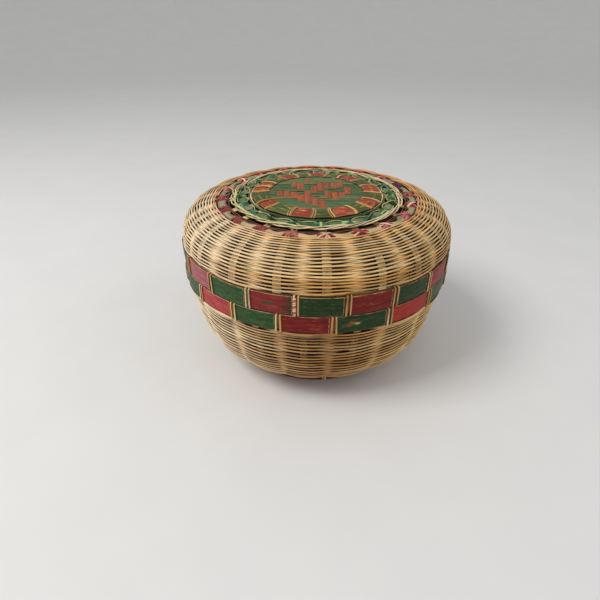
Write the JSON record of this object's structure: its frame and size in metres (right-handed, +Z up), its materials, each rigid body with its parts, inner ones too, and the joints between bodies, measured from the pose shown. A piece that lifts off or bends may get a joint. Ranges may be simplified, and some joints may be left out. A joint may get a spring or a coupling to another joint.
{
  "type": "lidded basket",
  "caption": "Round basket woven of split cane on flat stakes, with a domed lift-off lid, painted splint hoops tied at both rims, and a knotted, plaited lid top.",
  "frame": {"origin": "middle of the foot, on the surface the basket stands on", "axes": "+Z up along the axis of the basket, -Y towards the front"},
  "size_m": [0.2116, 0.2116, 0.1342],
  "materials": {
    "painted_splint": "worn paint, red and green by turns, satin",
    "cane": "aged split cane, satin",
    "pale_cane": "pale cane, satin",
    "bamboo": "bamboo splint, satin",
    "dyed_plait": "green and orange-red dyed splint, satin",
    "red_cane": "faded red dyed cane",
    "green_cane": "faded green dyed cane"
  },
  "bodies": {
    "base": {"base_outer_hoop": "painted_splint", "base_inner_hoop": "bamboo", "base_seat_collar": "bamboo", "base_woven_wall": "cane", "base_stakes": "bamboo", "base_centre_plait": "cane", "base_twined_ring": "pale_cane", "base_foot_hoop": "painted_splint", "base_foot_binding": "pale_cane", "base_lashing_01": "pale_cane", "base_lashing_02": "pale_cane", "base_lashing_03": "pale_cane", "base_lashing_04": "pale_cane", "base_lashing_05": "pale_cane", "base_lashing_06": "pale_cane", "base_lashing_07": "pale_cane", "base_lashing_08": "pale_cane", "base_lashing_09": "pale_cane", "base_lashing_10": "pale_cane", "base_lashing_11": "pale_cane", "base_lashing_12": "pale_cane", "base_lashing_13": "pale_cane", "base_lashing_14": "pale_cane", "base_lashing_15": "pale_cane", "base_lashing_16": "pale_cane", "base_lashing_17": "pale_cane", "base_lashing_18": "pale_cane"},
    "lid": {"lid_outer_hoop": "painted_splint", "lid_inner_hoop": "bamboo", "lid_woven_wall": "cane", "lid_stakes": "bamboo", "lid_centre_plait": "dyed_plait", "lid_crown_ring": "painted_splint", "lid_green_band": "green_cane", "lid_twined_ring": "pale_cane", "lid_red_band": "bamboo", "lid_green_knotting": "green_cane", "lid_red_knotting": "red_cane", "lid_lashing_01": "pale_cane", "lid_lashing_02": "pale_cane", "lid_lashing_03": "pale_cane", "lid_lashing_04": "pale_cane", "lid_lashing_05": "pale_cane", "lid_lashing_06": "pale_cane", "lid_lashing_07": "pale_cane", "lid_lashing_08": "pale_cane", "lid_lashing_09": "pale_cane", "lid_lashing_10": "pale_cane", "lid_lashing_11": "pale_cane", "lid_lashing_12": "pale_cane", "lid_lashing_13": "pale_cane", "lid_lashing_14": "pale_cane", "lid_lashing_15": "pale_cane", "lid_lashing_16": "pale_cane", "lid_lashing_17": "pale_cane", "lid_lashing_18": "pale_cane", "lid_lashing_19": "pale_cane", "lid_lashing_20": "pale_cane"}
  },
  "joints": [
    {"name": "lid_lift", "type": "slide", "parent": "base", "child": "lid", "axis": [0, 0, 1], "range_m": [0, 0.08]}
  ]
}
